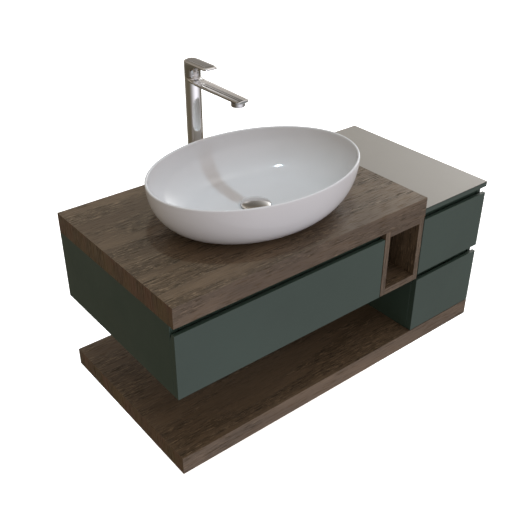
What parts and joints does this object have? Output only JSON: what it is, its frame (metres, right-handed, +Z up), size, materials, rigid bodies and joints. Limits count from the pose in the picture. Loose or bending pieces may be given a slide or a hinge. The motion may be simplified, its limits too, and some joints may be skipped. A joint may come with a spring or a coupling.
{
  "type": "wall-hung vanity with vessel basin",
  "caption": "Wall-hung oak-laminate and green bathroom vanity with an oval vessel basin, tall lever tap, sliding drawers, open niche and open shelf.",
  "frame": {"origin": "on the wall plane, at the middle height of the wall rail's back face, on the centre line of the basin", "axes": "+Z up, +Y towards the wall, +X to the right along the length of the unit as seen from the front"},
  "size_m": [1, 0.5, 0.7735],
  "materials": {
    "oak": "smoked oak laminate with open grain, matt",
    "green_lacquer": "grey-green satin lacquer on board",
    "dark_carcass": "dark grey-green melamine board",
    "satin_glass": "back-painted satin glass, greige, dark green edge",
    "grey_steel": "satin grey powder coat",
    "grey_board": "light grey melamine board",
    "zinc_steel": "zinc-plated",
    "white_ceramic": "white gloss glaze",
    "chrome": "polished chrome",
    "white_plastic": "moulded polypropylene",
    "dark_plastic": "moulded acetal"
  },
  "bodies": {
    "vanity": {"worktop": "oak", "niche_side_left": "oak", "niche_side_right": "oak", "niche_top": "oak", "niche_bottom": "oak", "niche_back": "oak", "bottom_shelf": "oak", "main_side_left": "green_lacquer", "main_bottom": "green_lacquer", "right_side_left": "green_lacquer", "right_side_right": "green_lacquer", "right_bottom": "green_lacquer", "right_top_panel": "green_lacquer", "main_channel_rail": "green_lacquer", "right_channel_rail_upper": "green_lacquer", "right_channel_rail_middle": "green_lacquer", "main_back": "dark_carcass", "right_back": "dark_carcass", "right_glass_top": "satin_glass", "shelf_bracket": "zinc_steel", "wall_rail": "zinc_steel", "hanger_left": "zinc_steel", "hanger_right": "zinc_steel", "tap_fixing_nut": "zinc_steel", "wide_runner_fixed_left": "zinc_steel", "wide_runner_fixed_right": "zinc_steel", "upper_runner_fixed_left": "zinc_steel", "upper_runner_fixed_right": "zinc_steel", "lower_runner_fixed_left": "zinc_steel", "lower_runner_fixed_right": "zinc_steel", "basin": "white_ceramic", "waste_body": "chrome", "tap_body": "chrome", "tap_aerator": "chrome", "drain_pipe": "white_plastic", "bottle_trap": "white_plastic"},
    "wide_drawer": {"wide_drawer_front": "green_lacquer", "wide_drawer_side_left": "grey_steel", "wide_drawer_side_right": "grey_steel", "wide_drawer_back": "grey_board", "wide_drawer_bottom": "grey_board"},
    "wide_runners": {"wide_runner_middle_left": "zinc_steel", "wide_runner_middle_right": "zinc_steel"},
    "upper_drawer": {"upper_drawer_front": "green_lacquer", "upper_drawer_side_left": "grey_steel", "upper_drawer_side_right": "grey_steel", "upper_drawer_back": "grey_board", "upper_drawer_bottom": "grey_board"},
    "upper_runners": {"upper_runner_middle_left": "zinc_steel", "upper_runner_middle_right": "zinc_steel"},
    "lower_drawer": {"lower_drawer_front": "green_lacquer", "lower_drawer_side_left": "grey_steel", "lower_drawer_side_right": "grey_steel", "lower_drawer_back": "grey_board", "lower_drawer_bottom": "grey_board"},
    "lower_runners": {"lower_runner_middle_left": "zinc_steel", "lower_runner_middle_right": "zinc_steel"},
    "tap_swivel": {"tap_cartridge_stem": "dark_plastic"},
    "tap_lever": {"tap_handle": "chrome"},
    "plug": {"waste_plug": "chrome"}
  },
  "joints": [
    {"name": "wide_drawer_slide", "type": "slide", "parent": "vanity", "child": "wide_drawer", "axis": [0, -1, 0], "range_m": [0, 0.35]},
    {"name": "wide_runner_slide", "type": "slide", "parent": "vanity", "child": "wide_runners", "axis": [0, -1, 0], "range_m": [0, 0.175]},
    {"name": "upper_drawer_slide", "type": "slide", "parent": "vanity", "child": "upper_drawer", "axis": [0, -1, 0], "range_m": [0, 0.4]},
    {"name": "upper_runner_slide", "type": "slide", "parent": "vanity", "child": "upper_runners", "axis": [0, -1, 0], "range_m": [0, 0.2]},
    {"name": "lower_drawer_slide", "type": "slide", "parent": "vanity", "child": "lower_drawer", "axis": [0, -1, 0], "range_m": [0, 0.4]},
    {"name": "lower_runner_slide", "type": "slide", "parent": "vanity", "child": "lower_runners", "axis": [0, -1, 0], "range_m": [0, 0.2]},
    {"name": "tap_swivel_hinge", "type": "hinge", "parent": "vanity", "child": "tap_swivel", "pos_m": [0, -0.0427, 0.377], "axis": [0, 0, 1], "range_deg": [-45, 45]},
    {"name": "tap_lever_lift", "type": "hinge", "parent": "tap_swivel", "child": "tap_lever", "pos_m": [0, -0.0367, 0.376], "axis": [-1, 0, 0], "range_deg": [0, 18]},
    {"name": "plug_rise", "type": "slide", "parent": "vanity", "child": "plug", "axis": [0, 0, 1], "range_m": [0, 0.0075]}
  ],
  "couplings": [
    {"joint": "wide_runner_slide", "follows": "wide_drawer_slide", "ratio": 0.5},
    {"joint": "upper_runner_slide", "follows": "upper_drawer_slide", "ratio": 0.5},
    {"joint": "lower_runner_slide", "follows": "lower_drawer_slide", "ratio": 0.5}
  ]
}
